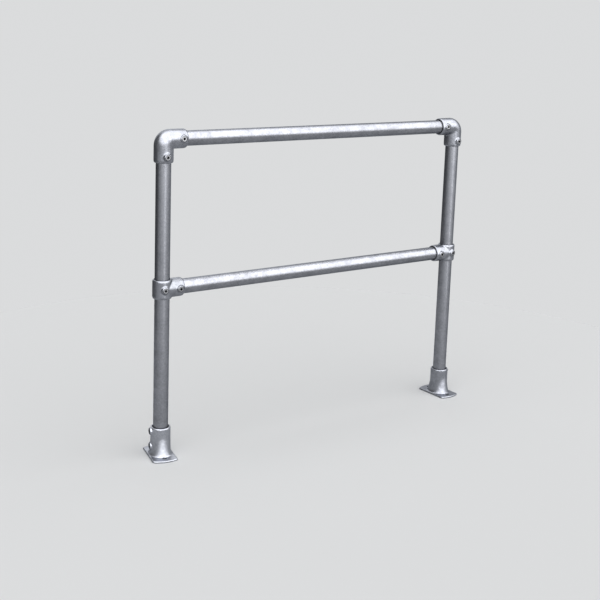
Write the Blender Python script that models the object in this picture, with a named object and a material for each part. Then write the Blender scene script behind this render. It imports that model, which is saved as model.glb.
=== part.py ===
"""Guardrail panel made of steel tube and cast clamp fittings.

Two posts and two rails are cut lengths of one tube size. An elbow at each top corner,
a short tee at each end of the mid rail and a flange under each post are hollow castings.
Each casting grips its tubes with two set screws that stand in raised bosses.

The panel stands in the XZ plane: X runs along the rails, the front is -Y and Z is up.
The origin is on the floor, midway between the posts. All sizes are in metres.
"""

import math

import bmesh
import bpy
from mathutils import Matrix, Vector

# Frame of the panel
POST_SPACING = 1.200
TOP_RAIL_HEIGHT = 1.030
MID_RAIL_HEIGHT = 0.555

# Tube
TUBE_DIAMETER = 0.0483
TUBE_WALL = 0.0032

# Clearances
SOCKET_CLEARANCE = 0.0004
SEAT_GAP = 0.0003
THREAD_GAP = 0.0003

# Socket of every casting
SOCKET_WALL = 0.0066
MOUTH_TAPER_DEPTH = 0.0035
MOUTH_TAPER_LENGTH = 0.0065
LEAD_IN_DEPTH = 0.0018
LEAD_IN_LENGTH = 0.0025

# Elbow, measured from the point where its two tube axes cross
ELBOW_REACH = 0.073
ELBOW_TUBE_STOP = 0.030
ELBOW_BEND_RADIUS = 0.020
ELBOW_CREASE_RADIUS = 0.003
ELBOW_CORE_DIAMETER = 0.040
ELBOW_SCREW_REACH = 0.0535
ELBOW_SCREW_TURN = math.radians(4.0)

# Short tee, measured from the axis of its post
TEE_REACH = 0.068
TEE_TUBE_STOP = 0.031
TEE_COLLAR_HEIGHT = 0.062
TEE_SOCKET_STEP = 0.0006
TEE_SCREW_REACH = 0.0498
TEE_SCREW_TURN = math.radians(8.0)

# Base flange
FLANGE_HEIGHT = 0.098
FLANGE_SOCKET_WALL = 0.0078
FLANGE_RIM_TAPER_DEPTH = 0.0018
FLANGE_RIM_TAPER_LENGTH = 0.0022
FLANGE_LEAD_IN_DEPTH = 0.0030
FLANGE_LEAD_IN_LENGTH = 0.0045
FLANGE_LEDGE_THICKNESS = 0.005
FLANGE_DRAIN_DIAMETER = 0.034
PLATE_LENGTH = 0.146
PLATE_WIDTH = 0.083
PLATE_THICKNESS = 0.0065
PLATE_END_BOW = 0.010
PLATE_CORNER_RADIUS = 0.009
PLATE_EDGE_BEVEL = 0.0012
SKIRT_HEIGHT = 0.068
SKIRT_SPREAD = 0.0010
FLARE_SIDE_HEIGHT = 0.016
FLARE_END_HEIGHT = 0.058
FLARE_END_STRAIGHTNESS = 0.8
FLARE_MARGIN = 0.0003
FIXING_HOLE_DIAMETER = 0.0135
FIXING_HOLE_SPACING = 0.102
LOWER_SCREW_HEIGHT = 0.0345
UPPER_SCREW_DROP = 0.0140
LEFT_FLANGE_TURN = math.radians(-12.0)
RIGHT_FLANGE_TURN = math.radians(2.0)

# Set screws and the bosses around them
SCREW_DIAMETER = 0.0162
SCREW_LENGTH = 0.0114
SCREW_CHAMFER = 0.0009
SCREW_CUP_DIAMETER = 0.0090
SCREW_CUP_DEPTH = 0.0016
SCREW_CUP_FLAT = 0.0020
HEX_ACROSS_FLATS = 0.008
HEX_DEPTH = 0.0062
BOSS_DIAMETER = 0.0230
BOSS_STAND = 0.0052
BOSS_DRAFT = 0.0012
BOSS_CHAMFER = 0.0012

# Sides of the round shapes
TUBE_SIDES = 48
CAST_SIDES = 36
CORE_SIDES = 18
BOSS_SIDES = 20
SCREW_SIDES = 16
BEND_STEPS = 6
FLARE_STEPS = 5
CORNER_STEPS = 3
BOW_STEPS = 8

# Worked out from the sizes above
TUBE_RADIUS = TUBE_DIAMETER / 2
BORE_RADIUS = TUBE_RADIUS + SOCKET_CLEARANCE
SOCKET_RADIUS = BORE_RADIUS + SOCKET_WALL
FLANGE_SOCKET_RADIUS = BORE_RADIUS + FLANGE_SOCKET_WALL
SCREW_SEAT = TUBE_RADIUS + SEAT_GAP
FLARE_SIDE_REACH = PLATE_WIDTH / 2 - PLATE_EDGE_BEVEL - FLARE_MARGIN
FLARE_END_REACH = FIXING_HOLE_SPACING / 2 - FIXING_HOLE_DIAMETER / 2 - FLARE_MARGIN
OVERRUN = 0.004

TUBE_STEEL = ("galvanised_tube", (0.47, 0.48, 0.51, 1.0), 0.42)
CAST_IRON = ("galvanised_casting", (0.56, 0.57, 0.61, 1.0), 0.48)
SCREW_STEEL = ("zinc_screw", (0.42, 0.43, 0.45, 1.0), 0.36)


def clear_scene():
    for existing in list(bpy.data.objects):
        bpy.data.objects.remove(existing, do_unlink=True)


def metal(finish):
    name, colour, roughness = finish
    if name in bpy.data.materials:
        return bpy.data.materials[name]
    material = bpy.data.materials.new(name)
    material.use_nodes = True
    shader = material.node_tree.nodes["Principled BSDF"]
    shader.inputs["Base Color"].default_value = colour
    shader.inputs["Metallic"].default_value = 1.0
    shader.inputs["Roughness"].default_value = roughness
    material.diffuse_color = colour
    return material


def turned(profile, sides, ring=False):
    """Body of revolution about Z from (radius, height) points.

    An open profile runs from one flat end to the other. A ring profile closes on itself.
    """
    bm = bmesh.new()
    points = [bm.verts.new((radius, 0.0, height)) for radius, height in profile]
    followers = points[1:] + points[:1] if ring else points[1:]
    edges = [bm.edges.new(pair) for pair in zip(points, followers)]
    bmesh.ops.spin(bm, geom=points + edges, axis=(0, 0, 1), cent=(0, 0, 0),
                   angle=2 * math.pi, steps=sides, use_merge=True)
    if not ring:
        bmesh.ops.holes_fill(bm, edges=bm.edges[:], sides=0)
    bmesh.ops.recalc_face_normals(bm, faces=bm.faces[:])
    return bm


def lofted(rings):
    """Closed body through rings of points, with a flat face on the first and last ring."""
    bm = bmesh.new()
    loops = [[bm.verts.new(point) for point in ring] for ring in rings]
    for lower, upper in zip(loops, loops[1:]):
        for index in range(len(lower)):
            follower = (index + 1) % len(lower)
            bm.faces.new((lower[index], lower[follower], upper[follower], upper[index]))
    bm.faces.new(loops[0])
    bm.faces.new(loops[-1])
    bmesh.ops.recalc_face_normals(bm, faces=bm.faces[:])
    return bm


def prism(outline, low, high):
    """Upright body with the given plan outline."""
    return lofted([[(x, y, low) for x, y in outline], [(x, y, high) for x, y in outline]])


def moved(bm, matrix):
    bm.transform(matrix)
    return bm


def mesh_of(name, bm):
    mesh = bpy.data.meshes.new(name)
    bm.to_mesh(mesh)
    bm.free()
    return mesh


def shaped(name, solid, added, removed, finish):
    """One mesh: the added bodies are melted into the solid, then the removed ones are cut out."""
    target = bpy.data.objects.new(name, mesh_of(name, solid))
    bpy.context.scene.collection.objects.link(target)
    tools = []
    for operation, bodies in (("UNION", added), ("DIFFERENCE", removed)):
        for body in bodies:
            tool = bpy.data.objects.new(name + "_tool", mesh_of(name + "_tool", body))
            tool.hide_render = True
            tool.display_type = "WIRE"
            bpy.context.scene.collection.objects.link(tool)
            modifier = target.modifiers.new(operation.title(), "BOOLEAN")
            modifier.operation = operation
            modifier.solver = "EXACT"
            modifier.object = tool
            tools.append(tool)
    evaluated = target.evaluated_get(bpy.context.evaluated_depsgraph_get())
    mesh = bpy.data.meshes.new_from_object(evaluated)
    mesh.name = name
    for scrap in [target] + tools:
        bpy.data.objects.remove(scrap, do_unlink=True)
    finished(mesh, finish)
    return mesh


def finished(mesh, finish):
    """Smooth shading with crisp edges, and one material."""
    mesh.materials.clear()
    mesh.materials.append(metal(finish))
    mesh.shade_smooth()
    mesh.set_sharp_from_angle(angle=math.radians(30))


def place(name, mesh, location=(0, 0, 0), rotation=(0, 0, 0), parent=None):
    piece = bpy.data.objects.new(name, mesh)
    bpy.context.scene.collection.objects.link(piece)
    piece.location = location
    piece.rotation_euler = rotation
    piece.parent = parent
    return piece


def axis_frame(origin, direction):
    """Matrix that stands local +Z along the direction, at the origin given."""
    turn = Vector(direction).to_track_quat("Z", "Y").to_matrix().to_4x4()
    return Matrix.Translation(origin) @ turn


# Tubes

def tube_mesh(name, length):
    """Open tube along +Z from its own origin."""
    inner = TUBE_RADIUS - TUBE_WALL
    section = ((inner, 0), (TUBE_RADIUS, 0), (TUBE_RADIUS, length), (inner, length))
    mesh = mesh_of(name, turned(section, TUBE_SIDES, ring=True))
    finished(mesh, TUBE_STEEL)
    return mesh


# Shapes that the castings share

def socket_profile(radius, start, mouth):
    """Half outline of a socket that ends in a rounded taper at its mouth."""
    shoulder = mouth - MOUTH_TAPER_LENGTH
    return [(radius, start), (radius, shoulder),
            (radius - 0.35 * MOUTH_TAPER_DEPTH, shoulder + 0.5 * MOUTH_TAPER_LENGTH),
            (radius - MOUTH_TAPER_DEPTH, mouth)]


def bore(stop, mouth, lead_depth=LEAD_IN_DEPTH, lead_length=LEAD_IN_LENGTH):
    """Cutter for a tube's seat, with the opened mouth that lets the tube in."""
    profile = [(BORE_RADIUS, stop), (BORE_RADIUS, mouth - lead_length),
               (BORE_RADIUS + lead_depth, mouth), (BORE_RADIUS + lead_depth, mouth + OVERRUN)]
    return turned(profile, CAST_SIDES)


def boss(face):
    """Raised seat of a set screw, from inside the socket's wall out to its flat face."""
    root = BORE_RADIUS + 0.3 * SOCKET_WALL
    top_radius = BOSS_DIAMETER / 2
    return turned([(top_radius + BOSS_DRAFT, root), (top_radius, face - BOSS_CHAMFER),
                   (top_radius - BOSS_CHAMFER, face)], BOSS_SIDES)


def threaded_hole(face):
    """Cutter that opens a boss through to the bore."""
    radius = SCREW_DIAMETER / 2 + THREAD_GAP
    return turned([(radius, BORE_RADIUS - OVERRUN), (radius, face + OVERRUN)], SCREW_SIDES)


def screw_seats(frames, face):
    """Bosses and holes at the given frames, whose +Z points out along each screw."""
    bosses = [moved(boss(face), frame) for frame in frames]
    holes = [moved(threaded_hole(face), frame) for frame in frames]
    return bosses, holes


# Elbow: one leg down the post along -Z, the other along +X over the rail

def elbow_ring(radius, kind, value, sides):
    """Ring round the elbow's path.

    It sits at a distance down the post leg or along the rail leg, or at an angle round the
    bend. The inner side of the bend keeps a small radius at its crease.
    """
    ring = []
    for index in range(sides):
        turn = 2 * math.pi * index / sides
        inward = radius * math.cos(turn)
        across = radius * math.sin(turn)
        if kind == "leg":
            ring.append((inward, across, -value))
        elif kind == "rail":
            ring.append((value, across, -inward))
        else:
            swing = max(ELBOW_BEND_RADIUS - inward, ELBOW_CREASE_RADIUS)
            centre = inward + swing
            ring.append((centre - swing * math.cos(value), across,
                         swing * math.sin(value) - centre))
    return ring


def elbow_bend(radius, sides):
    angles = [math.pi / 2 * step / BEND_STEPS for step in range(BEND_STEPS + 1)]
    return [elbow_ring(radius, "bend", angle, sides) for angle in angles]


def elbow_skin():
    start = SOCKET_RADIUS + 2 * ELBOW_CREASE_RADIUS
    leg = socket_profile(SOCKET_RADIUS, start, ELBOW_REACH)
    post_side = [elbow_ring(radius, "leg", reach, CAST_SIDES) for radius, reach in reversed(leg)]
    rail_side = [elbow_ring(radius, "rail", reach, CAST_SIDES) for radius, reach in leg]
    return lofted(post_side + elbow_bend(SOCKET_RADIUS, CAST_SIDES) + rail_side)


def elbow_core():
    """Cutter for the hollow that joins the two tube seats round the corner."""
    radius = ELBOW_CORE_DIAMETER / 2
    reach = ELBOW_TUBE_STOP + OVERRUN
    return lofted([elbow_ring(radius, "leg", reach, CORE_SIDES)] + elbow_bend(radius, CORE_SIDES)
                  + [elbow_ring(radius, "rail", reach, CORE_SIDES)])


def elbow_screw_frames():
    """The screw on the post's leg leans outward and the one on the rail's leg leans upward."""
    lean = math.sin(ELBOW_SCREW_TURN)
    front = -math.cos(ELBOW_SCREW_TURN)
    return [axis_frame((0, 0, -ELBOW_SCREW_REACH), (-lean, front, 0)),
            axis_frame((ELBOW_SCREW_REACH, 0, 0), (0, front, lean))]


def elbow_mesh(frames, face):
    bosses, holes = screw_seats(frames, face)
    down = axis_frame((0, 0, 0), (0, 0, -1))
    along = axis_frame((0, 0, 0), (1, 0, 0))
    seats = [moved(bore(ELBOW_TUBE_STOP, ELBOW_REACH), frame) for frame in (down, along)]
    return shaped("elbow", elbow_skin(), bosses, [elbow_core()] + seats + holes, CAST_IRON)


# Short tee: a collar round the post and a socket along +X for the rail

def tee_screw_frames():
    lean = math.sin(TEE_SCREW_TURN)
    front = -math.cos(TEE_SCREW_TURN)
    return [axis_frame((0, 0, 0), (-lean, front, 0)),
            axis_frame((TEE_SCREW_REACH, 0, 0), (0, -1, 0))]


def tee_mesh(frames, face):
    half = TEE_COLLAR_HEIGHT / 2
    upper = socket_profile(SOCKET_RADIUS, 0, half)[1:]
    lower = [(radius, -height) for radius, height in reversed(upper)]
    collar = turned(lower + upper, CAST_SIDES)
    along = axis_frame((0, 0, 0), (1, 0, 0))
    socket = turned(socket_profile(SOCKET_RADIUS - TEE_SOCKET_STEP, 0, TEE_REACH), CAST_SIDES)
    bosses, holes = screw_seats(frames, face)
    through = turned(collar_bore_profile(half), CAST_SIDES)
    seat = moved(bore(TEE_TUBE_STOP, TEE_REACH), along)
    return shaped("tee", collar, [moved(socket, along)] + bosses, [through, seat] + holes, CAST_IRON)


def collar_bore_profile(half):
    upper = [(BORE_RADIUS, half - LEAD_IN_LENGTH), (BORE_RADIUS + LEAD_IN_DEPTH, half),
             (BORE_RADIUS + LEAD_IN_DEPTH, half + OVERRUN)]
    return [(radius, -height) for radius, height in reversed(upper)] + upper


# Base flange: plate with its length along Y, and screws on the outer side, -X

def arc(centre, radius, start, end, steps):
    """Points on a circle, from one angle to another."""
    turns = [start + (end - start) * step / steps for step in range(steps + 1)]
    return [(centre[0] + radius * math.cos(turn), centre[1] + radius * math.sin(turn)) for turn in turns]


def plate_outline():
    """Plan of the plate: straight sides, bowed ends and rounded corners, each tangent to the next."""
    half_width = PLATE_WIDTH / 2
    bow_radius = (half_width ** 2 + PLATE_END_BOW ** 2) / (2 * PLATE_END_BOW)
    bow_centre = PLATE_LENGTH / 2 - bow_radius
    corner_x = half_width - PLATE_CORNER_RADIUS
    corner_rise = math.sqrt((bow_radius - PLATE_CORNER_RADIUS) ** 2 - corner_x ** 2)
    corner_y = bow_centre + corner_rise
    meet = math.atan2(corner_rise, corner_x)
    right_corner = arc((corner_x, corner_y), PLATE_CORNER_RADIUS, 0, meet, CORNER_STEPS)
    bow = arc((0, bow_centre), bow_radius, meet, math.pi - meet, BOW_STEPS)
    left_corner = arc((-corner_x, corner_y), PLATE_CORNER_RADIUS, math.pi - meet, math.pi, CORNER_STEPS)
    end = right_corner + bow[1:-1] + left_corner
    return end + [(-x, -y) for x, y in end]


def plate_body():
    outline = plate_outline()
    bm = prism(outline, 0, PLATE_THICKNESS)
    rim = [edge for edge in bm.edges
           if all(abs(vert.co.z - PLATE_THICKNESS) < 1e-6 for vert in edge.verts)]
    bmesh.ops.bevel(bm, geom=rim, offset=PLATE_EDGE_BEVEL, offset_type="OFFSET", segments=1,
                    profile=0.5, affect="EDGES")
    return bm


def blend(first, second, share):
    return first + (second - first) * share


def flare_ring(share):
    """Ring of the flare, from its foot on the plate, at share 0, to its top, at share 1.

    At the plate's long edges the flare is low, round in section and runs out there. Towards the
    plate's ends it stops just short of the holes, starts higher up the socket and is straighter.
    """
    turn = share * math.pi / 2
    skirt_room = SKIRT_HEIGHT - PLATE_THICKNESS
    ring = []
    for step in range(CAST_SIDES):
        angle = 2 * math.pi * step / CAST_SIDES
        towards_end = math.sin(angle) ** 2
        height = blend(FLARE_SIDE_HEIGHT, FLARE_END_HEIGHT, towards_end)
        reach = blend(FLARE_SIDE_REACH, FLARE_END_REACH, towards_end)
        straightness = FLARE_END_STRAIGHTNESS * towards_end
        outward = blend(1 - math.sin(turn), 1 - share, straightness)
        upward = blend(1 - math.cos(turn), share, straightness)
        spread = SKIRT_SPREAD * (skirt_room - height) / (skirt_room - FLARE_SIDE_HEIGHT)
        radius = blend(FLANGE_SOCKET_RADIUS + spread, reach, outward)
        ring.append((radius * math.cos(angle), radius * math.sin(angle), PLATE_THICKNESS + height * upward))
    return ring


def socket_ring(radius, height):
    angles = [2 * math.pi * step / CAST_SIDES for step in range(CAST_SIDES)]
    return [(radius * math.cos(angle), radius * math.sin(angle), height) for angle in angles]


def flange_skin():
    """Socket that widens a little down its skirt and flares out where it meets the plate."""
    foot = [(x, y, PLATE_THICKNESS / 2) for x, y, _ in flare_ring(0)]
    flare = [flare_ring(step / FLARE_STEPS) for step in range(FLARE_STEPS + 1)]
    return lofted([foot] + flare + [
        socket_ring(FLANGE_SOCKET_RADIUS, SKIRT_HEIGHT),
        socket_ring(FLANGE_SOCKET_RADIUS, FLANGE_HEIGHT - FLANGE_RIM_TAPER_LENGTH),
        socket_ring(FLANGE_SOCKET_RADIUS - FLANGE_RIM_TAPER_DEPTH, FLANGE_HEIGHT)])


def flange_screw_frames():
    return [axis_frame((0, 0, height), (-1, 0, 0))
            for height in (LOWER_SCREW_HEIGHT, FLANGE_HEIGHT - UPPER_SCREW_DROP)]


def flange_mesh(frames, face):
    bosses, holes = screw_seats(frames, face)
    seat = bore(FLANGE_LEDGE_THICKNESS, FLANGE_HEIGHT, FLANGE_LEAD_IN_DEPTH, FLANGE_LEAD_IN_LENGTH)
    drain = turned([(FLANGE_DRAIN_DIAMETER / 2, -OVERRUN),
                    (FLANGE_DRAIN_DIAMETER / 2, FLANGE_LEDGE_THICKNESS + OVERRUN)], CAST_SIDES)
    fixings = []
    for side in (-1, 1):
        hole = turned([(FIXING_HOLE_DIAMETER / 2, -OVERRUN),
                       (FIXING_HOLE_DIAMETER / 2, PLATE_THICKNESS + OVERRUN)], BOSS_SIDES)
        fixings.append(moved(hole, Matrix.Translation((0, side * FIXING_HOLE_SPACING / 2, 0))))
    return shaped("flange", plate_body(), [flange_skin()] + bosses,
                  [seat, drain] + fixings + holes, CAST_IRON)


# Set screw: stands along +Z with its cup at the bottom and its hex socket at the top

def screw_mesh():
    radius = SCREW_DIAMETER / 2
    body = turned([(SCREW_CUP_DIAMETER / 2 + SCREW_CHAMFER, 0), (radius, SCREW_CHAMFER * 2),
                   (radius, SCREW_LENGTH - SCREW_CHAMFER),
                   (radius - SCREW_CHAMFER, SCREW_LENGTH)], SCREW_SIDES)
    corner = HEX_ACROSS_FLATS / math.sqrt(3)
    hexagon = [(corner * math.cos(math.radians(60 * index)), corner * math.sin(math.radians(60 * index)))
               for index in range(6)]
    key_hole = prism(hexagon, SCREW_LENGTH - HEX_DEPTH, SCREW_LENGTH + OVERRUN)
    cup_slope = SCREW_CUP_DEPTH / (SCREW_CUP_DIAMETER / 2 - SCREW_CUP_FLAT / 2)
    cup = turned([(SCREW_CUP_DIAMETER / 2 + OVERRUN, -OVERRUN * cup_slope),
                  (SCREW_CUP_FLAT / 2, SCREW_CUP_DEPTH)], SCREW_SIDES)
    return shaped("set_screw", body, [], [key_hole, cup], SCREW_STEEL)


def place_casting(name, mesh, frames, screw, location, rotation):
    """A casting with its set screws driven down to their seats."""
    casting = place(name, mesh, location, rotation)
    for number, frame in enumerate(frames, start=1):
        seated = frame @ Matrix.Translation((0, 0, SCREW_SEAT))
        place("%s_screw_%d" % (name, number), screw, seated.to_translation(),
              seated.to_euler(), casting)


def build_tubes():
    half = POST_SPACING / 2
    post_foot = FLANGE_LEDGE_THICKNESS + SEAT_GAP
    post_head = TOP_RAIL_HEIGHT - ELBOW_TUBE_STOP - SEAT_GAP
    post = tube_mesh("post", post_head - post_foot)
    for side, name in ((-1, "post_left"), (1, "post_right")):
        place(name, post, (side * half, 0, post_foot))
    for name, height, stop in (("top_rail", TOP_RAIL_HEIGHT, ELBOW_TUBE_STOP),
                               ("mid_rail", MID_RAIL_HEIGHT, TEE_TUBE_STOP)):
        start = -half + stop + SEAT_GAP
        place(name, tube_mesh(name, -2 * start), (start, 0, height), (0, math.pi / 2, 0))


def build_castings():
    half = POST_SPACING / 2
    face = SOCKET_RADIUS + BOSS_STAND
    flange_face = FLANGE_SOCKET_RADIUS + BOSS_STAND
    screw = screw_mesh()
    elbow_frames = elbow_screw_frames()
    elbow = elbow_mesh(elbow_frames, face)
    tee_frames = tee_screw_frames()
    tee = tee_mesh(tee_frames, face)
    flange_frames = flange_screw_frames()
    flange = flange_mesh(flange_frames, flange_face)
    place_casting("elbow_left", elbow, elbow_frames, screw, (-half, 0, TOP_RAIL_HEIGHT), (0, 0, 0))
    place_casting("elbow_right", elbow, elbow_frames, screw, (half, 0, TOP_RAIL_HEIGHT),
                  (0, math.pi / 2, 0))
    place_casting("tee_left", tee, tee_frames, screw, (-half, 0, MID_RAIL_HEIGHT), (0, 0, 0))
    place_casting("tee_right", tee, tee_frames, screw, (half, 0, MID_RAIL_HEIGHT), (0, math.pi, 0))
    place_casting("flange_left", flange, flange_frames, screw, (-half, 0, 0), (0, 0, LEFT_FLANGE_TURN))
    place_casting("flange_right", flange, flange_frames, screw, (half, 0, 0),
                  (0, 0, math.pi + RIGHT_FLANGE_TURN))


clear_scene()
build_tubes()
build_castings()
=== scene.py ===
"""Look of the guardrail panel: galvanised tube, cast clamp fittings and set screws.

The castings are formed from turned and swept bodies, melted together so that their
corners take the soft fillets of a casting, and then bored for the tubes and the screws.
"""
import math

import bmesh
import bpy
from mathutils import Matrix, Vector, noise


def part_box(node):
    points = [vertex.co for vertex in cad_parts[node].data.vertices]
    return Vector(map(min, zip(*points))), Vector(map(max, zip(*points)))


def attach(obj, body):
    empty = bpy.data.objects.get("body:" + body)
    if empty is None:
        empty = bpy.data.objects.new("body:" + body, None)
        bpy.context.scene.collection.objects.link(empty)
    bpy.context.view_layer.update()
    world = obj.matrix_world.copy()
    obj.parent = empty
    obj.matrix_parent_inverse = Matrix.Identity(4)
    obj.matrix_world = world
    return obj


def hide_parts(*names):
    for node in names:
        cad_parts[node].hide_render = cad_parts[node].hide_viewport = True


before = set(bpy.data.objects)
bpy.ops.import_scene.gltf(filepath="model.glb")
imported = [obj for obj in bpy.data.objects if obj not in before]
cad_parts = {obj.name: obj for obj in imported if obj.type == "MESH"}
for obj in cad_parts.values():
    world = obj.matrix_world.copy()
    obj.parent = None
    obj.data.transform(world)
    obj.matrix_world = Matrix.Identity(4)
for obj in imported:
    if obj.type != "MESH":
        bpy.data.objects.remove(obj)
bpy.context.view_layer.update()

# Tube and socket sizes, in metres
TUBE_RADIUS = 0.02415
TUBE_WALL = 0.0032
TUBE_EASE = 0.0005
BORE_RADIUS = TUBE_RADIUS + 0.0004
SOCKET_RADIUS = BORE_RADIUS + 0.0066
MOUTH_TAPER = (0.0036, 0.0070)
MOUTH_LEAD_IN = (0.0017, 0.0026)
LEAD_IN_KNEE = (0.3, 0.45)

# Elbow, from the point where its tube axes cross
ELBOW_REACH = 0.073
ELBOW_STOP = 0.030
ELBOW_BEND = 0.020
BEND_STEPS = 24
BEND_TRIM = 0.0004
LEG_OVERLAP = 0.0003
ELBOW_CORE_RADIUS = 0.020
CORE_BALL_SHARE = 1.002
ELBOW_SCREW_REACH = 0.0535
ELBOW_SCREW_TURN = math.radians(4)

# Short tee, from the axis of its post
TEE_REACH = 0.068
TEE_STOP = 0.031
TEE_HALF_HEIGHT = 0.031
TEE_SOCKET_RADIUS = SOCKET_RADIUS - 0.0006
TEE_SCREW_REACH = 0.0498
TEE_SCREW_TURN = math.radians(8)

# Base flange
FLANGE_HEIGHT = 0.098
FLANGE_RADIUS = BORE_RADIUS + 0.0078
FLANGE_LEDGE = 0.005
FLANGE_RIM_TAPER = (0.0022, 0.0030)
FLANGE_LEAD_IN = (0.0030, 0.0045)
FLANGE_DRAIN_RADIUS = 0.017
PLATE_LENGTH = 0.146
PLATE_WIDTH = 0.083
PLATE_THICKNESS = 0.0065
PLATE_BOW = 0.010
PLATE_CORNER = 0.009
PLATE_EASE = 0.0014
PLATE_CORNER_STEPS = 8
PLATE_BOW_STEPS = 24
SKIRT_HEIGHT = 0.068
SKIRT_SPREAD = 0.0010
FLARE_SIDE_HEIGHT = 0.016
FLARE_END_HEIGHT = 0.058
FLARE_END_STRAIGHTNESS = 0.8
FLARE_SIDE_REACH = 0.0400
FLARE_END_REACH = 0.04395
FLARE_ROWS = 12
FIXING_HOLE_RADIUS = 0.00675
FIXING_HOLE_REACH = 0.051
FIXING_HOLE_LEAD_IN = (0.0006, 0.0008)
FLANGE_SCREW_HEIGHTS = (0.0345, 0.0840)
LEFT_FLANGE_TURN = math.radians(-12)
RIGHT_FLANGE_TURN = math.radians(182)

# Set screws and the bosses round them
BOSS_RADIUS = 0.0115
BOSS_STAND = 0.0052
BOSS_ROOT = (0.0016, 0.002)
BOSS_EDGE = ((0.0004, 0.0016), (-0.0003, 0.0005), (-0.0014, 0))
SCREW_SIDES = 48
SCREW_RADIUS = 0.0081
SCREW_LENGTH = 0.0114
SCREW_SEAT = TUBE_RADIUS + 0.0003
THREAD_PITCH = 0.0013
THREAD_DEPTH = 0.0006
THREAD_CREST = (0.45, 0.55)
HEX_FLATS = 0.008
HEX_DEPTH = 0.0062
HEX_LEAD_IN = (0.0008, 0.0006)
CUP_POINT = ((0.0058, -0.0006), (0.0012, 0.0018))
HOLE_CLEARANCE = 0.0003
COUNTERSINK = (0.0009, 0.0007)
LIP = 0.0002

# Casting finish: how finely and how often a casting is melted, and the unevenness of its skin
VOXEL = 0.0011
MELT_ROUNDS = 14
RIPPLE_HEIGHT = 0.00011
RIPPLE_SIZE = 0.013
SHARP_ANGLE = math.radians(32)
FLOOR_FLAT = 0.0001

# Sides of a turned piece, and how far a cutter runs past the metal
SIDES = 96
OVERRUN = 0.004

# Marking of the bores for painted shade: margins at the wall and at the ends, levels of painted shade,
# and an end that lies open
WALL_MARGIN = 0.00001
END_MARGIN = 0.0001
PAINTED_SHADE = 1.0
HALF_PAINTED_SHADE = 0.5
FAR = 1.0

# Studio: levels of the surroundings, and the directions that each soft light fills
FLOOR_RADIUS = 1.9
FLOOR_COLOUR = (0.715, 0.729, 0.7415, 1)
SURROUND_COLOUR = (0.98, 0.99, 1.0, 1)
SURROUND_LEVEL = 0.72
FILL_LEVEL = 0.12
DIFFUSE_SHARE = 0.302
SHADE_LEVEL = 0.16
SHADE_SIDE = (-0.55, 0.80)
SHADE_SPREAD = (0.45, 0.85)
LIGHT_COLOUR = (1.0, 0.99, 0.98, 1)
DOME_LIGHT = 4.4
DOME_TILT = -0.80
DOME_EDGE = (0.28, 0.85)
DOME_RISE = (-0.10, 0.02)
FRONT_LIGHT = 6.0
FRONT_FOOT_LIGHT = 1.7
FRONT_LEFT = (-0.16, 0.00)
FRONT_RIGHT = (0.16, 0.34)
FRONT_REACH = (-0.88, -0.76)
FRONT_RISE = (-0.06, 0.10)
FRONT_TOP = (0.40, 0.60)
BACK_LIGHT = 1.2
BACK_REACH = (0.45, 0.65)
BACK_LEFT = (-0.30, -0.10)
BACK_RIGHT = (0.50, 0.66)
BACK_RISE = (0.04, 0.14)

# Camera: turn, tilt and lean in radians, place in metres
CAMERA_TURN = 0.61577
CAMERA_TILT = 0.17743
CAMERA_LEAN = -0.03419
CAMERA_PLACE = (-2.20796, -3.03742, 1.44870)
CAMERA_LENS = 66.70
CAMERA_SHIFT = (-0.00803, -0.15766)


# Shapes

def frame_along(origin, direction):
    """Matrix that stands local +Z along the direction, at the origin given."""
    turn = Vector(direction).to_track_quat("Z", "Y").to_matrix().to_4x4()
    return Matrix.Translation(origin) @ turn


def turned(profile, steps=SIDES, place=Matrix.Identity(4)):
    """Solid turned about Z from (radius, height) points, then put in its place."""
    bm = bmesh.new()
    points = [bm.verts.new((radius, 0, height)) for radius, height in profile]
    edges = [bm.edges.new(pair) for pair in zip(points, points[1:])]
    bmesh.ops.spin(bm, geom=points + edges, axis=(0, 0, 1), cent=(0, 0, 0),
                   angle=2 * math.pi, steps=steps, use_merge=True)
    bmesh.ops.holes_fill(bm, edges=bm.edges[:], sides=0)
    bmesh.ops.recalc_face_normals(bm, faces=bm.faces[:])
    bmesh.ops.transform(bm, matrix=place, verts=bm.verts[:])
    return bm


def rounded_mouth(radius, start, mouth, taper, steps=6):
    """Half outline of a socket whose end turns in along a quarter ellipse."""
    depth, length = taper
    curve = []
    for step in range(steps + 1):
        turn = math.pi / 2 * step / steps
        curve.append((radius - depth * (1 - math.cos(turn)), mouth - length * (1 - math.sin(turn))))
    return [(radius, start)] + curve


def tube_seat(stop, mouth, lead_in=MOUTH_LEAD_IN):
    """Cutter for a tube's seat, opened at the mouth."""
    depth, length = lead_in
    knee_depth, knee_length = LEAD_IN_KNEE
    return [(BORE_RADIUS, stop), (BORE_RADIUS, mouth - length),
            (BORE_RADIUS + knee_depth * depth, mouth - knee_length * length),
            (BORE_RADIUS + depth, mouth), (BORE_RADIUS + depth, mouth + OVERRUN)]


def quarter_bend(radius):
    """Outer part of the elbow's corner: a disc, trimmed at the bend's axis, spun a quarter turn."""
    bm = bmesh.new()
    bmesh.ops.create_circle(bm, cap_ends=True, radius=radius, segments=SIDES)
    bmesh.ops.translate(bm, vec=(0, 0, -ELBOW_BEND), verts=bm.verts[:])
    bmesh.ops.bisect_plane(bm, geom=bm.verts[:] + bm.edges[:] + bm.faces[:], dist=1e-6,
                           plane_co=(ELBOW_BEND - BEND_TRIM, 0, 0), plane_no=(1, 0, 0),
                           clear_outer=True)
    bmesh.ops.spin(bm, geom=bm.verts[:] + bm.edges[:] + bm.faces[:], axis=(0, 1, 0),
                   cent=(ELBOW_BEND, 0, -ELBOW_BEND), angle=math.pi / 2, steps=BEND_STEPS)
    bmesh.ops.remove_doubles(bm, verts=bm.verts[:], dist=1e-6)
    bmesh.ops.recalc_face_normals(bm, faces=bm.faces[:])
    return bm


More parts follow.
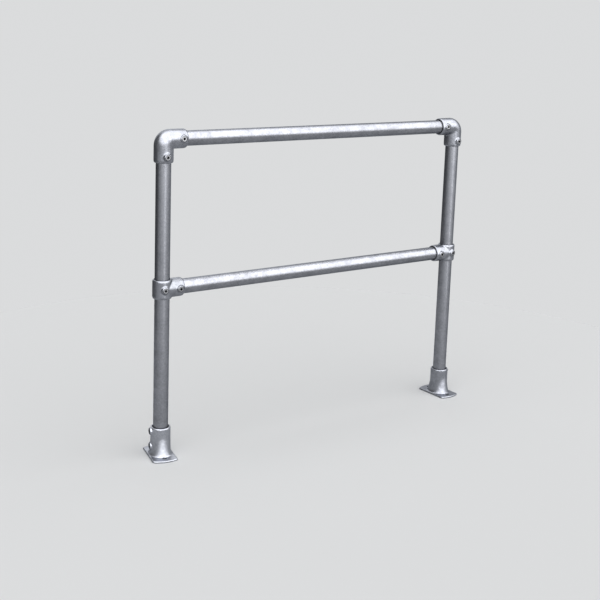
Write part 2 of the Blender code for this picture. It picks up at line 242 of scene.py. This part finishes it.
def boss(face):
    """Raised seat of a set screw, from inside the wall out to its face."""
    spread, depth = BOSS_ROOT
    edge = [(BOSS_RADIUS + out, face - down) for out, down in BOSS_EDGE]
    return [(BOSS_RADIUS + spread, BORE_RADIUS + depth)] + edge


def screw_hole(face):
    """Cutter for the threaded hole, with a small countersink."""
    radius = SCREW_RADIUS + HOLE_CLEARANCE
    width, depth = COUNTERSINK
    return [(radius, BORE_RADIUS - OVERRUN), (radius, face - depth), (radius + width, face + LIP),
            (radius + width, face + OVERRUN)]


def plate_blank():
    """Base plate: straight sides, bowed ends and rounded corners, with its upper edge eased."""
    half_width = PLATE_WIDTH / 2
    bow_radius = (half_width ** 2 + PLATE_BOW ** 2) / (2 * PLATE_BOW)
    bow_centre = PLATE_LENGTH / 2 - bow_radius
    corner_x = half_width - PLATE_CORNER
    rise = math.sqrt((bow_radius - PLATE_CORNER) ** 2 - corner_x ** 2)
    meet = math.atan2(rise, corner_x)
    bm = bmesh.new()
    tail = bm.verts.new((half_width, bow_centre + rise, 0))
    for centre, turn, steps in (((corner_x, bow_centre + rise, 0), meet, PLATE_CORNER_STEPS),
                                ((0, bow_centre, 0), math.pi - 2 * meet, PLATE_BOW_STEPS),
                                ((-corner_x, bow_centre + rise, 0), meet, PLATE_CORNER_STEPS)):
        arc = bmesh.ops.spin(bm, geom=[tail], axis=(0, 0, 1), cent=centre, angle=turn, steps=steps)
        tail = [piece for piece in arc["geom_last"] if isinstance(piece, bmesh.types.BMVert)][0]
    bmesh.ops.mirror(bm, geom=bm.verts[:] + bm.edges[:], matrix=Matrix.Identity(4), axis="Y",
                     merge_dist=1e-7)
    loose = [vert for vert in bm.verts if len(vert.link_edges) == 1]
    for side in (-1, 1):
        pair = [vert for vert in loose if vert.co.x * side > 0]
        bm.edges.new(pair)
    bmesh.ops.holes_fill(bm, edges=bm.edges[:], sides=0)
    raised = bmesh.ops.extrude_face_region(bm, geom=bm.faces[:])
    top = [piece for piece in raised["geom"] if isinstance(piece, bmesh.types.BMVert)]
    bmesh.ops.translate(bm, vec=(0, 0, PLATE_THICKNESS), verts=top)
    rim = [edge for edge in bm.edges if all(vert in top for vert in edge.verts)]
    bmesh.ops.bevel(bm, geom=rim, offset=PLATE_EASE, offset_type="OFFSET", segments=3, profile=0.5,
                    affect="EDGES", material=-1)
    bmesh.ops.recalc_face_normals(bm, faces=bm.faces[:])
    return bm


def blend(first, second, share):
    """Value between two others."""
    return first + (second - first) * share


def flange_blank():
    """Socket that widens a little down its skirt and flares out to the plate.

    The flare is low and round at the plate's long edges, taller and straighter towards its ends.
    """
    profile = [(FLANGE_RADIUS, PLATE_THICKNESS / 2)]
    for row in range(FLARE_ROWS + 1):
        profile.append((FLANGE_RADIUS, PLATE_THICKNESS + SKIRT_SPREAD * (row + 1)))
    bm = turned(profile + rounded_mouth(FLANGE_RADIUS, SKIRT_HEIGHT, FLANGE_HEIGHT, FLANGE_RIM_TAPER))
    room = SKIRT_HEIGHT - PLATE_THICKNESS
    for vert in bm.verts:
        row = round((vert.co.z - PLATE_THICKNESS) / SKIRT_SPREAD) - 1
        if row > FLARE_ROWS:
            continue
        share = max(row, 0) / FLARE_ROWS
        turn = share * math.pi / 2
        towards_end = (vert.co.y / math.hypot(vert.co.x, vert.co.y)) ** 2
        height = blend(FLARE_SIDE_HEIGHT, FLARE_END_HEIGHT, towards_end)
        reach = blend(FLARE_SIDE_REACH, FLARE_END_REACH, towards_end)
        straightness = FLARE_END_STRAIGHTNESS * towards_end
        outward = blend(1 - math.sin(turn), 1 - share, straightness)
        upward = blend(1 - math.cos(turn), share, straightness)
        spread = SKIRT_SPREAD * (room - height) / (room - FLARE_SIDE_HEIGHT)
        scale = blend(FLANGE_RADIUS + spread, reach, outward) / FLANGE_RADIUS
        if row >= 0:
            vert.co.z = PLATE_THICKNESS + height * upward
        vert.co.x *= scale
        vert.co.y *= scale
    return bm


# Castings

def as_object(name, bm):
    """Object from a bmesh, in the scene."""
    mesh = bpy.data.meshes.new(name)
    bm.to_mesh(mesh)
    bm.free()
    piece = bpy.data.objects.new(name, mesh)
    bpy.context.scene.collection.objects.link(piece)
    return piece


def applied(piece):
    """Puts what the modifiers make into the piece's own mesh."""
    evaluated = piece.evaluated_get(bpy.context.evaluated_depsgraph_get())
    mesh = bpy.data.meshes.new_from_object(evaluated)
    piece.modifiers.clear()
    piece.data = mesh
    return piece


def combined(piece, bodies, operation):
    """Adds the bodies to the piece or cuts them out of it."""
    tools = []
    for body in bodies:
        tool = as_object(piece.name + "_tool", body)
        modifier = piece.modifiers.new(operation.title(), "BOOLEAN")
        modifier.operation = operation
        modifier.solver = "EXACT"
        modifier.object = tool
        tools.append(tool)
    applied(piece)
    for tool in tools:
        bpy.data.objects.remove(tool)
    return piece


def cast(name, bodies, cuts):
    """Bodies melted into one soft-cornered casting, then cut clean."""
    piece = as_object(name, bodies[0])
    combined(piece, bodies[1:], "UNION")
    remesh = piece.modifiers.new("Melt", "REMESH")
    remesh.mode = "VOXEL"
    remesh.voxel_size = VOXEL
    applied(piece)
    bm = bmesh.new()
    bm.from_mesh(piece.data)
    for _ in range(MELT_ROUNDS):
        bmesh.ops.smooth_vert(bm, verts=bm.verts[:], factor=0.5, use_axis_x=True,
                              use_axis_y=True, use_axis_z=True)
    bm.to_mesh(piece.data)
    bm.free()
    return combined(piece, cuts, "DIFFERENCE")


def with_painted_bore_shade(piece, bores_to_shade):
    """Marks the painted shade that darkens the colour inside each bore: (frame, radius, low end, high
    end, shade).
    """
    bm = bmesh.new()
    bm.from_mesh(piece.data)
    inside = bm.faces.layers.float.new("painted_bore_shade")
    for place, radius, low, high, shade in bores_to_shade:
        back = place.inverted()
        for face in bm.faces:
            spot = back @ face.calc_center_median()
            if low < spot.z < high and math.hypot(spot.x, spot.y) < radius:
                face[inside] = shade
    bm.to_mesh(piece.data)
    bm.free()
    return piece


def screw_bores_for_painted_shade(frames, face):
    """The screws' holes, as bores to mark with painted shade."""
    radius = SCREW_RADIUS + HOLE_CLEARANCE + COUNTERSINK[0] + END_MARGIN
    return [(spot, radius, BORE_RADIUS - OVERRUN, face - END_MARGIN, PAINTED_SHADE) for spot in frames]


def with_screws(frames, face):
    """Bosses and hole cutters for the set screws of one casting."""
    bosses = [turned(boss(face), place=spot) for spot in frames]
    holes = [turned(screw_hole(face), place=spot) for spot in frames]
    return bosses, holes


def elbow_frames():
    """Axes of the elbow's two set screws, from the tubes' axes outwards."""
    lean, front = math.sin(ELBOW_SCREW_TURN), -math.cos(ELBOW_SCREW_TURN)
    return [frame_along((0, 0, -ELBOW_SCREW_REACH), (-lean, front, 0)),
            frame_along((ELBOW_SCREW_REACH, 0, 0), (0, front, lean))]


def tee_frames():
    """Axes of the tee's two set screws: on the collar and on the socket."""
    lean, front = math.sin(TEE_SCREW_TURN), -math.cos(TEE_SCREW_TURN)
    return [frame_along((0, 0, 0), (-lean, front, 0)),
            frame_along((TEE_SCREW_REACH, 0, 0), (0, -1, 0))]


def flange_frames():
    """Axes of the flange's two set screws, one above the other."""
    return [frame_along((0, 0, height), (-1, 0, 0)) for height in FLANGE_SCREW_HEIGHTS]


def cast_elbow():
    """Elbow with one leg down and one along +X, about the point where its axes cross."""
    down, along = frame_along((0, 0, 0), (0, 0, -1)), frame_along((0, 0, 0), (1, 0, 0))
    leg = rounded_mouth(SOCKET_RADIUS, ELBOW_BEND - LEG_OVERLAP, ELBOW_REACH, MOUTH_TAPER)
    bosses, holes = with_screws(elbow_frames(), SOCKET_RADIUS + BOSS_STAND)
    bodies = [quarter_bend(SOCKET_RADIUS), turned(leg, place=down), turned(leg, place=along)]
    seats = [turned(tube_seat(ELBOW_STOP, ELBOW_REACH), place=spot) for spot in (down, along)]
    core = [(ELBOW_CORE_RADIUS, 0.0), (ELBOW_CORE_RADIUS, ELBOW_STOP + OVERRUN)]
    ball = bmesh.new()
    bmesh.ops.create_uvsphere(ball, u_segments=48, v_segments=24,
                              radius=ELBOW_CORE_RADIUS * CORE_BALL_SHARE)
    cores = [ball, turned(core, place=down), turned(core, place=along)]
    elbow = cast("elbow", bodies + bosses, cores + seats + holes)
    # Painted shade darkens the colour inside the mouths and the screw holes
    mouth = BORE_RADIUS + MOUTH_LEAD_IN[0] + WALL_MARGIN
    bores_to_shade = [(spot, mouth, 0, FAR, PAINTED_SHADE) for spot in (down, along)]
    return with_painted_bore_shade(elbow, bores_to_shade + screw_bores_for_painted_shade(elbow_frames(), SOCKET_RADIUS + BOSS_STAND))


def cast_tee():
    """Tee with its collar upright and its socket along +X."""
    upright = Matrix.Identity(4)
    along = frame_along((0, 0, 0), (1, 0, 0))
    upper = rounded_mouth(SOCKET_RADIUS, 0, TEE_HALF_HEIGHT, MOUTH_TAPER)[1:]
    collar = [(radius, -height) for radius, height in reversed(upper)] + upper
    socket = rounded_mouth(TEE_SOCKET_RADIUS, 0, TEE_REACH, MOUTH_TAPER)
    bosses, holes = with_screws(tee_frames(), SOCKET_RADIUS + BOSS_STAND)
    half_bore = tube_seat(0, TEE_HALF_HEIGHT)[1:]
    through = [(radius, -height) for radius, height in reversed(half_bore)] + half_bore
    seat = turned(tube_seat(TEE_STOP, TEE_REACH), place=along)
    tee = cast("tee", [turned(collar), turned(socket, place=along)] + bosses,
               [turned(through), seat] + holes)
    # Painted shade darkens the colour inside the mouths and the screw holes
    mouth = BORE_RADIUS + MOUTH_LEAD_IN[0] + WALL_MARGIN
    bores_to_shade = [(upright, mouth, -FAR, FAR, PAINTED_SHADE), (along, mouth, 0, FAR, PAINTED_SHADE)]
    return with_painted_bore_shade(tee, bores_to_shade + screw_bores_for_painted_shade(tee_frames(), SOCKET_RADIUS + BOSS_STAND))


def cast_flange():
    """Base flange with its socket upright, its plate on the floor and its screws towards -X."""
    bosses, holes = with_screws(flange_frames(), FLANGE_RADIUS + BOSS_STAND)
    seat = turned(tube_seat(FLANGE_LEDGE, FLANGE_HEIGHT, FLANGE_LEAD_IN))
    drain = turned([(FLANGE_DRAIN_RADIUS, -OVERRUN), (FLANGE_DRAIN_RADIUS, FLANGE_LEDGE + OVERRUN)])
    # Painted shade darkens the colour inside the socket and the screw holes, and by half inside the
    # fixing holes
    mouth = BORE_RADIUS + FLANGE_LEAD_IN[0] + WALL_MARGIN
    bores_to_shade = [(Matrix.Identity(4), mouth, END_MARGIN, FAR, PAINTED_SHADE)]
    width, depth = FIXING_HOLE_LEAD_IN
    wide = FIXING_HOLE_RADIUS + width
    hole = [(FIXING_HOLE_RADIUS, -OVERRUN), (FIXING_HOLE_RADIUS, PLATE_THICKNESS - depth),
            (wide, PLATE_THICKNESS), (wide, PLATE_THICKNESS + OVERRUN)]
    fixings = []
    for side in (-1, 1):
        spot = Matrix.Translation((0, side * FIXING_HOLE_REACH, 0))
        fixings.append(turned(hole, place=spot))
        bores_to_shade.append((spot, wide + WALL_MARGIN, END_MARGIN, PLATE_THICKNESS - END_MARGIN, HALF_PAINTED_SHADE))
    flange = cast("flange", [plate_blank(), flange_blank()] + bosses, [seat, drain] + fixings + holes)
    return with_painted_bore_shade(flange, bores_to_shade + screw_bores_for_painted_shade(flange_frames(), FLANGE_RADIUS + BOSS_STAND))


def rippled(bm, height, size):
    """The slight unevenness that the sand mould and the zinc leave; the floor stays flat."""
    bm.normal_update()
    for vert in bm.verts:
        if vert.co.z > FLOOR_FLAT:
            vert.co += vert.normal * height * noise.noise(vert.co / size)
        else:
            vert.co.z = 0


def placed(master, place, slot, node, height=RIPPLE_HEIGHT):
    """Copy of a master piece in its own place, which stands for a CAD node."""
    bm = bmesh.new()
    bm.from_mesh(master.data)
    bmesh.ops.transform(bm, matrix=place, verts=bm.verts[:])
    if height:
        rippled(bm, height, RIPPLE_SIZE)
    finish(as_object(node, bm), slot, node)


def finish(piece, slot, node):
    """Gives a piece its metal and its shading, and puts it in place of the CAD node."""
    # Some pieces take a lighter copy of their metal, as painted light
    piece.data.materials.append(MATERIALS[PAINTED_LIGHT_CASTINGS.get(node, slot)])
    piece.data.shade_smooth()
    piece.data.set_sharp_from_angle(angle=SHARP_ANGLE)
    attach(piece, "root")
    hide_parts(node)


# Set screws

def cut_screw():
    """Set screw with a rolled thread, a hexagon socket and a cup point."""
    turns = int(SCREW_LENGTH / THREAD_PITCH) + 2
    profile = []
    root = SCREW_RADIUS - THREAD_DEPTH
    for turn in range(turns):
        low = (turn - 1) * THREAD_PITCH
        profile.append((root, low))
        profile += [(SCREW_RADIUS, low + share * THREAD_PITCH) for share in THREAD_CREST]
    profile.append((root, (turns - 1) * THREAD_PITCH))
    piece = as_object("set_screw", turned(profile, SCREW_SIDES))
    clear = SCREW_RADIUS + OVERRUN
    ends = [turned([(clear, SCREW_LENGTH), (clear, SCREW_LENGTH + 3 * OVERRUN)], SCREW_SIDES),
            turned([(clear, -3 * OVERRUN), (clear, 0)], SCREW_SIDES)]
    hexagon = bmesh.new()
    bmesh.ops.create_circle(hexagon, cap_ends=True, radius=HEX_FLATS / math.sqrt(3), segments=6)
    bmesh.ops.translate(hexagon, vec=(0, 0, SCREW_LENGTH - HEX_DEPTH), verts=hexagon.verts[:])
    raised = bmesh.ops.extrude_face_region(hexagon, geom=hexagon.faces[:])
    top = [part for part in raised["geom"] if isinstance(part, bmesh.types.BMVert)]
    bmesh.ops.translate(hexagon, vec=(0, 0, HEX_DEPTH + OVERRUN), verts=top)
    bmesh.ops.recalc_face_normals(hexagon, faces=hexagon.faces[:])
    width, depth = HEX_LEAD_IN
    wide = HEX_FLATS / 2 + width
    lead = turned([(HEX_FLATS / 2, SCREW_LENGTH - depth), (wide, SCREW_LENGTH + LIP)], SCREW_SIDES)
    cup = turned(CUP_POINT, SCREW_SIDES)
    combined(piece, ends + [hexagon, lead, cup], "DIFFERENCE")
    # Painted shade darkens the colour inside the hexagon socket
    bottom = SCREW_LENGTH - HEX_DEPTH - END_MARGIN
    return with_painted_bore_shade(piece, [(Matrix.Identity(4), wide, bottom, SCREW_LENGTH - END_MARGIN, PAINTED_SHADE)])


# Tubes

def drawn_tube(name, low, high, direction):
    """Tube between two ends, with eased edges."""
    length = (Vector(high) - Vector(low)).length
    inner = TUBE_RADIUS - TUBE_WALL
    ease = TUBE_EASE
    section = [(inner + ease, 0), (TUBE_RADIUS - ease, 0), (TUBE_RADIUS, ease),
               (TUBE_RADIUS, length - ease), (TUBE_RADIUS - ease, length),
               (inner + ease, length), (inner, length - ease), (inner, ease)]
    bm = bmesh.new()
    points = [bm.verts.new((radius, 0, height)) for radius, height in section]
    edges = [bm.edges.new(pair) for pair in zip(points, points[1:] + points[:1])]
    bmesh.ops.spin(bm, geom=points + edges, axis=(0, 0, 1), cent=(0, 0, 0), angle=2 * math.pi,
                   steps=SIDES, use_merge=True)
    bmesh.ops.recalc_face_normals(bm, faces=bm.faces[:])
    bmesh.ops.transform(bm, matrix=frame_along(low, direction), verts=bm.verts[:])
    finish(as_object(name, bm), "tube_steel", name)


# Materials: colours at a slant, the painted shade inside a bore, and how the three patterns mix

DRAWN_EDGE = (0.45, 0.47, 0.50, 1)
CAST_EDGE = (0.55, 0.57, 0.60, 1)
# Colour of the painted shade inside bores, hexagon sockets and holes
PAINTED_BORE_SHADE = (0.03, 0.032, 0.036, 1)
GRAIN_SHARE = 0.38
SPANGLE_SHARE = 0.16
TINT_RANGE = (0.36, 0.66)
GLOSS_RANGE = (0.3, 0.7)
BUMP_DISTANCE = 0.0004


def socket(group, direction, kind, name, value=None):
    """Named input or output of a node group."""
    made = group.interface.new_socket(name=name, in_out=direction, socket_type="NodeSocket" + kind)
    if value is not None:
        made.default_value = value


def zinc_coat_group():
    """Mottled zinc: clouds, fine grain and spangle give the colour, the roughness and the bumps.

    Where the bore mark is 1, as inside a hole, the colour is a painted shade colour instead.
    """
    group = bpy.data.node_groups.new("zinc_coat", "ShaderNodeTree")
    for kind, name, value in (("Vector", "Place", None), ("Float", "Cloud Scale", 20.0),
                              ("Float", "Grain Scale", 320.0), ("Float", "Spangle Scale", 160.0),
                              ("Color", "Dark", (0.3, 0.3, 0.32, 1)),
                              ("Color", "Bright", (0.5, 0.5, 0.52, 1)),
                              ("Float", "Smooth", 0.25), ("Float", "Rough", 0.4),
                              ("Float", "Bump Height", 0.1), ("Float", "Painted Shade", 0.0),
                              ("Color", "Painted Shade Colour", PAINTED_BORE_SHADE)):
        socket(group, "INPUT", kind, name, value)
    for kind, name in (("Color", "Color"), ("Float", "Roughness"), ("Vector", "Normal")):
        socket(group, "OUTPUT", kind, name)
    nodes, links = group.nodes, group.links
    given = nodes.new("NodeGroupInput")
    out = nodes.new("NodeGroupOutput")

    def pattern(kind, scale, **values):
        node = nodes.new(kind)
        links.new(given.outputs["Place"], node.inputs["Vector"])
        links.new(given.outputs[scale], node.inputs["Scale"])
        for name, value in values.items():
            node.inputs[name].default_value = value
        return node

    def blended(first, second, share):
        mix = nodes.new("ShaderNodeMix")
        mix.inputs["Factor"].default_value = share
        links.new(first, mix.inputs["A"])
        links.new(second, mix.inputs["B"])
        return mix.outputs["Result"]

    clouds = pattern("ShaderNodeTexNoise", "Cloud Scale", Detail=5.0, Roughness=0.62)
    grain = pattern("ShaderNodeTexNoise", "Grain Scale", Detail=3.0, Roughness=0.6)
    spangle = pattern("ShaderNodeTexVoronoi", "Spangle Scale", Randomness=1.0)
    shade = nodes.new("ShaderNodeRGBToBW")
    links.new(spangle.outputs["Color"], shade.inputs["Color"])
    mottle = blended(clouds.outputs["Fac"], grain.outputs["Fac"], GRAIN_SHARE)
    mottle = blended(mottle, shade.outputs["Val"], SPANGLE_SHARE)
    spread = nodes.new("ShaderNodeMapRange")
    spread.inputs["From Min"].default_value, spread.inputs["From Max"].default_value = TINT_RANGE
    links.new(mottle, spread.inputs["Value"])
    tint = nodes.new("ShaderNodeMix")
    tint.data_type = "RGBA"
    links.new(spread.outputs["Result"], tint.inputs["Factor"])
    links.new(given.outputs["Dark"], tint.inputs[6])
    links.new(given.outputs["Bright"], tint.inputs[7])
    # Painted shade: the colour turns dark where the bore mark is set
    painted_shade_mix = nodes.new("ShaderNodeMix")
    painted_shade_mix.data_type = "RGBA"
    links.new(given.outputs["Painted Shade"], painted_shade_mix.inputs["Factor"])
    links.new(tint.outputs[2], painted_shade_mix.inputs[6])
    links.new(given.outputs["Painted Shade Colour"], painted_shade_mix.inputs[7])
    links.new(painted_shade_mix.outputs[2], out.inputs["Color"])
    gloss = nodes.new("ShaderNodeMapRange")
    gloss.inputs["From Min"].default_value, gloss.inputs["From Max"].default_value = GLOSS_RANGE
    links.new(mottle, gloss.inputs["Value"])
    links.new(given.outputs["Rough"], gloss.inputs["To Min"])
    links.new(given.outputs["Smooth"], gloss.inputs["To Max"])
    links.new(gloss.outputs["Result"], out.inputs["Roughness"])
    bump = nodes.new("ShaderNodeBump")
    bump.inputs["Distance"].default_value = BUMP_DISTANCE
    links.new(given.outputs["Bump Height"], bump.inputs["Strength"])
    links.new(mottle, bump.inputs["Height"])
    links.new(bump.outputs["Normal"], out.inputs["Normal"])
    return group


def zinc(name, group, metallic, edge, **values):
    """Galvanised metal; the edge colour is what it turns to where it is seen at a slant."""
    material = bpy.data.materials.new(name)
    material.use_nodes = True
    nodes, links = material.node_tree.nodes, material.node_tree.links
    shader = nodes["Principled BSDF"]
    shader.inputs["Metallic"].default_value = metallic
    shader.inputs["Specular Tint"].default_value = edge
    place = nodes.new("ShaderNodeTexCoord")
    coat = nodes.new("ShaderNodeGroup")
    coat.node_tree = group
    links.new(place.outputs["Object"], coat.inputs["Place"])
    # The bore mark from the mesh sets where painted shade darkens the colour
    painted_bore_shade = nodes.new("ShaderNodeAttribute")
    painted_bore_shade.attribute_name = "painted_bore_shade"
    links.new(painted_bore_shade.outputs["Fac"], coat.inputs["Painted Shade"])
    for key, value in values.items():
        coat.inputs[key.replace("_", " ")].default_value = value
    links.new(coat.outputs["Color"], shader.inputs["Base Color"])
    links.new(coat.outputs["Roughness"], shader.inputs["Roughness"])
    links.new(coat.outputs["Normal"], shader.inputs["Normal"])
    return material


# Scene

def pale_floor():
    """Small matt disc that takes the panel's shadow; its colour meets that of the surroundings."""
    bm = bmesh.new()
    bmesh.ops.create_circle(bm, cap_ends=True, radius=FLOOR_RADIUS, segments=SIDES)
    floor = as_object("floor", bm)
    material = bpy.data.materials.new("pale_floor")
    material.use_nodes = True
    shader = material.node_tree.nodes["Principled BSDF"]
    shader.inputs["Base Color"].default_value = FLOOR_COLOUR
    shader.inputs["Roughness"].default_value = 1.0
    shader.inputs["Specular IOR Level"].default_value = 0.0
    floor.data.materials.append(material)


def ramp(tree, value, low, high, start=0.0, end=1.0):
    """Soft change from start to end while the value goes from low to high."""
    node = tree.nodes.new("ShaderNodeMapRange")
    node.interpolation_type = "SMOOTHSTEP"
    tree.links.new(value, node.inputs["Value"])
    for name, number in (("From Min", low), ("From Max", high), ("To Min", start), ("To Max", end)):
        node.inputs[name].default_value = number
    return node.outputs["Result"]


def combine(tree, operation, *values):
    """Maths on outputs or plain numbers, from left to right."""
    result = values[0]
    for value in values[1:]:
        node = tree.nodes.new("ShaderNodeMath")
        node.operation = operation
        for entry, given in zip(node.inputs, (result, value)):
            if isinstance(given, (int, float)):
                entry.default_value = given
            else:
                tree.links.new(given, entry)
        result = node.outputs[0]
    return result


def studio():
    """Pale surroundings, darker at the back left, with three wide soft lights.

    The camera sees only the paleness. Metal mirrors all of it, and matt surfaces take a share.
    """
    world = bpy.data.worlds.new("studio")
    bpy.context.scene.world = world
    world.use_nodes = True
    tree = world.node_tree
    path = tree.nodes.new("ShaderNodeLightPath")
    unseen = combine(tree, "SUBTRACT", 1.0, path.outputs["Is Camera Ray"])
    mirrored = combine(tree, "MAXIMUM", path.outputs["Is Camera Ray"], path.outputs["Is Glossy Ray"],
                       path.outputs["Is Transmission Ray"])
    place = tree.nodes.new("ShaderNodeTexCoord")
    axes = tree.nodes.new("ShaderNodeSeparateXYZ")
    tree.links.new(place.outputs["Generated"], axes.inputs["Vector"])
    x, y, z = axes.outputs

    parts = [combine(tree, "MULTIPLY", axis, share) for axis, share in zip((x, y), SHADE_SIDE)]
    side = combine(tree, "ADD", *parts)
    shade = combine(tree, "MULTIPLY", ramp(tree, side, *SHADE_SPREAD), unseen)
    backdrop = ramp(tree, shade, 0, 1, SURROUND_LEVEL, SHADE_LEVEL)
    level = tree.nodes.new("ShaderNodeMix")
    level.inputs["A"].default_value = FILL_LEVEL
    tree.links.new(mirrored, level.inputs["Factor"])
    tree.links.new(backdrop, level.inputs["B"])
    surround = tree.nodes["Background"]
    surround.inputs["Color"].default_value = SURROUND_COLOUR
    tree.links.new(level.outputs["Result"], surround.inputs["Strength"])

    height = combine(tree, "ADD", z, combine(tree, "MULTIPLY", y, DOME_TILT))
    dome = combine(tree, "MULTIPLY", ramp(tree, height, *DOME_EDGE), ramp(tree, z, *DOME_RISE),
                   DOME_LIGHT)
    front = combine(tree, "MULTIPLY", ramp(tree, x, *FRONT_LEFT), ramp(tree, x, *FRONT_RIGHT, 1, 0),
                    ramp(tree, y, *FRONT_REACH, 1, 0), ramp(tree, z, *FRONT_TOP, 1, 0),
                    ramp(tree, z, *FRONT_RISE, FRONT_FOOT_LIGHT, FRONT_LIGHT))
    back = combine(tree, "MULTIPLY", ramp(tree, y, *BACK_REACH), ramp(tree, x, *BACK_LEFT),
                   ramp(tree, x, *BACK_RIGHT, 1, 0), ramp(tree, z, *BACK_RISE), BACK_LIGHT)
    glow = tree.nodes.new("ShaderNodeBackground")
    glow.inputs["Color"].default_value = LIGHT_COLOUR
    share = ramp(tree, mirrored, 0, 1, DIFFUSE_SHARE, 1)
    lights = combine(tree, "MULTIPLY", combine(tree, "MAXIMUM", dome, front, back), unseen, share)
    tree.links.new(lights, glow.inputs["Strength"])
    both = tree.nodes.new("ShaderNodeAddShader")
    tree.links.new(surround.outputs[0], both.inputs[0])
    tree.links.new(glow.outputs[0], both.inputs[1])
    tree.links.new(both.outputs[0], tree.nodes["World Output"].inputs["Surface"])


def camera():
    """Stands where the photograph was taken from; the image is 600 by 600."""
    level = math.cos(CAMERA_TILT)
    ahead = Vector((math.sin(CAMERA_TURN) * level, math.cos(CAMERA_TURN) * level, -math.sin(CAMERA_TILT)))
    right = Vector((math.cos(CAMERA_TURN), -math.sin(CAMERA_TURN), 0))
    down = ahead.cross(right)
    across = math.cos(CAMERA_LEAN) * right + math.sin(CAMERA_LEAN) * down
    below = -math.sin(CAMERA_LEAN) * right + math.cos(CAMERA_LEAN) * down
    data = bpy.data.cameras.new("camera")
    data.lens = CAMERA_LENS
    data.shift_x, data.shift_y = CAMERA_SHIFT
    data.clip_start = 0.05
    holder = bpy.data.objects.new("camera", data)
    bpy.context.scene.collection.objects.link(holder)
    matrix = Matrix((across, -below, -ahead)).transposed().to_4x4()
    matrix.translation = Vector(CAMERA_PLACE)
    holder.matrix_world = matrix
    bpy.context.scene.camera = holder


coat = zinc_coat_group()
MATERIALS = {
    "tube_steel": zinc("galvanised_tube", coat, 1.0, DRAWN_EDGE, Cloud_Scale=26.0,
                       Grain_Scale=260.0, Spangle_Scale=170.0, Dark=(0.181, 0.187, 0.208, 1),
                       Bright=(0.274, 0.2825, 0.310, 1), Smooth=0.28, Rough=0.40, Bump_Height=0.03),
    "cast_fitting": zinc("galvanised_casting", coat, 0.85, CAST_EDGE, Cloud_Scale=34.0,
                         Grain_Scale=300.0, Spangle_Scale=140.0, Dark=(0.187, 0.194, 0.218, 1),
                         Bright=(0.287, 0.300, 0.333, 1), Smooth=0.25, Rough=0.38, Bump_Height=0.16),
    # Lighter copy of the casting metal: painted light for one flange
    "painted_light_casting": zinc("galvanised_casting_painted_light", coat, 0.85, CAST_EDGE, Cloud_Scale=34.0,
                          Grain_Scale=300.0, Spangle_Scale=140.0, Dark=(0.243, 0.252, 0.282, 1),
                          Bright=(0.373, 0.390, 0.430, 1), Smooth=0.27, Rough=0.42, Bump_Height=0.16),
    "set_screw": zinc("zinc_screw", coat, 1.0, DRAWN_EDGE, Cloud_Scale=120.0,
                      Grain_Scale=700.0, Spangle_Scale=400.0, Dark=(0.188, 0.192, 0.205, 1),
                      Bright=(0.297, 0.303, 0.32, 1), Smooth=0.30, Rough=0.46, Bump_Height=0.10),
}

# This flange takes a lighter copy of the casting metal, as painted light
PAINTED_LIGHT_CASTINGS = {"flange_left": "painted_light_casting"}


def middle(node):
    """Centre of a CAD node's box."""
    low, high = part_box(node)
    return (Vector(low) + Vector(high)) / 2


def dress():
    """Puts a finer piece in the place of every CAD node."""
    for side in ("left", "right"):
        low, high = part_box("post_" + side)
        x, y, _ = middle("post_" + side)
        drawn_tube("post_" + side, (x, y, low[2]), (x, y, high[2]), (0, 0, 1))
    for rail in ("top_rail", "mid_rail"):
        low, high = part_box(rail)
        _, y, z = middle(rail)
        drawn_tube(rail, (low[0], y, z), (high[0], y, z), (1, 0, 0))

    screw = cut_screw()
    left, right = middle("post_left").x, middle("post_right").x
    top, mid = middle("top_rail").z, middle("mid_rail").z
    kinds = (("elbow", cast_elbow, elbow_frames, top, (("Y", 0), ("Y", math.pi / 2))),
             ("tee", cast_tee, tee_frames, mid, (("Y", 0), ("Y", math.pi))),
             ("flange", cast_flange, flange_frames, 0,
              (("Z", LEFT_FLANGE_TURN), ("Z", RIGHT_FLANGE_TURN))))
    for kind, make, frames, height, turns in kinds:
        master = make()
        for side, x, (axis, turn) in zip(("left", "right"), (left, right), turns):
            place = Matrix.Translation((x, 0, height)) @ Matrix.Rotation(turn, 4, axis)
            name = "%s_%s" % (kind, side)
            placed(master, place, "cast_fitting", name)
            for number, spot in enumerate(frames(), start=1):
                seated = place @ spot @ Matrix.Translation((0, 0, SCREW_SEAT))
                placed(screw, seated, "set_screw", "%s_screw_%d" % (name, number), 0)
        bpy.data.objects.remove(master)
    bpy.data.objects.remove(screw)


bpy.context.scene.view_settings.view_transform = "Standard"
dress()
pale_floor()
studio()
camera()
